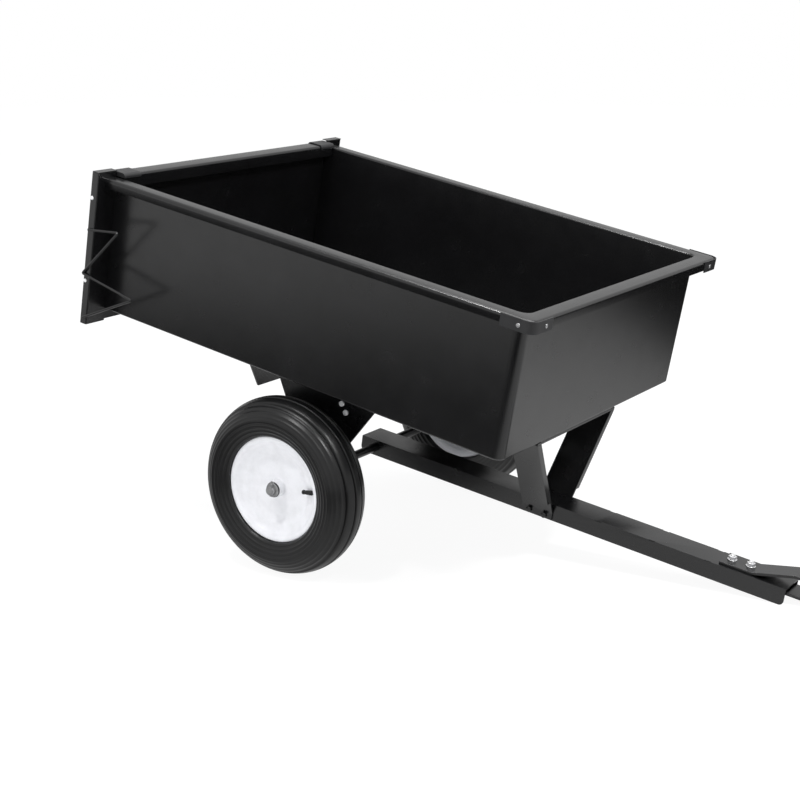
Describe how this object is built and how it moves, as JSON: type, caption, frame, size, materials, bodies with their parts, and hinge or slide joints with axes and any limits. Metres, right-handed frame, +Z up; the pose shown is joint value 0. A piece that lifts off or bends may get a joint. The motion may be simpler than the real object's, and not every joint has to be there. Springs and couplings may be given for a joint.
{
  "type": "tow-behind tipping dump cart",
  "caption": "Black steel garden dump cart with a tipping bed, lift-out tailgate, V stand, white-rimmed pneumatic wheels and a drawbar ending in a clevis hitch.",
  "frame": {"origin": "on the ground under the middle of the cart's bounding box", "axes": "+X forward to the hitch, +Y to the cart's left, +Z up; the cart stands on its tyres and the drawbar's tip"},
  "size_m": [1.6188, 0.9268, 0.8753],
  "materials": {
    "black_paint": "gloss",
    "white_paint": "semi-gloss",
    "zinc": "satin",
    "tyre": "matte",
    "cap_plastic": "matte",
    "bush_plastic": "matte",
    "valve_rubber": "matte"
  },
  "bodies": {
    "chassis": {"drawbar": "black_paint", "axle": "black_paint", "axle_spacers": "black_paint", "axle_washers": "zinc", "cotter_pins": "zinc", "stand_leg_left": "black_paint", "stand_leg_right": "black_paint", "stand_rest_plate": "black_paint", "stand_bolts": "black_paint", "hitch_upper_plate": "black_paint", "hitch_lower_plate": "black_paint", "hitch_bolts": "zinc"},
    "bed": {"tub_floor": "black_paint", "tub_side_left": "black_paint", "tub_side_right": "black_paint", "tub_front": "black_paint", "rear_post_left": "black_paint", "rear_post_right": "black_paint", "front_cap_left": "cap_plastic", "front_cap_right": "cap_plastic", "cap_screws": "zinc", "guide_left": "black_paint", "guide_right": "black_paint", "guide_rivets": "zinc", "wire_retainer_left": "black_paint", "wire_retainer_right": "black_paint", "axle_bracket_left": "black_paint", "axle_bracket_right": "black_paint", "cross_brace": "black_paint", "brace_bolts": "zinc", "rear_cross_member": "black_paint", "front_cross_member": "black_paint", "floor_bolts": "black_paint", "latch_pin": "zinc"},
    "tailgate": {"tailgate_panel": "black_paint", "tailgate_rail": "black_paint", "rail_cap_left": "cap_plastic", "rail_cap_right": "cap_plastic"},
    "latch": {"latch_lever": "zinc"},
    "wheel_left": {"tyre_left": "tyre", "rim_left": "white_paint", "disc_left": "white_paint", "hub_left": "white_paint", "bushes_left": "bush_plastic", "valve_left": "valve_rubber"},
    "wheel_right": {"tyre_right": "tyre", "rim_right": "white_paint", "disc_right": "white_paint", "hub_right": "white_paint", "bushes_right": "bush_plastic", "valve_right": "valve_rubber"}
  },
  "joints": [
    {"name": "bed_tip", "type": "hinge", "parent": "chassis", "child": "bed", "pos_m": [-0.29201, 0, 0.2], "axis": [0, -1, 0], "range_deg": [0, 48]},
    {"name": "tailgate_lift", "type": "slide", "parent": "bed", "child": "tailgate", "axis": [0.206, 0, 0.9785], "range_m": [0, 0.34]},
    {"name": "latch_hook", "type": "hinge", "parent": "bed", "child": "latch", "pos_m": [0.1368, 0, 0.34374], "axis": [0, -1, 0], "range_deg": [0, 42]},
    {"name": "wheel_left_turn", "type": "hinge", "parent": "chassis", "child": "wheel_left", "pos_m": [-0.29201, 0.3855, 0.2], "axis": [0, 1, 0], "continuous": true},
    {"name": "wheel_right_turn", "type": "hinge", "parent": "chassis", "child": "wheel_right", "pos_m": [-0.29201, -0.3855, 0.2], "axis": [0, 1, 0], "continuous": true}
  ]
}
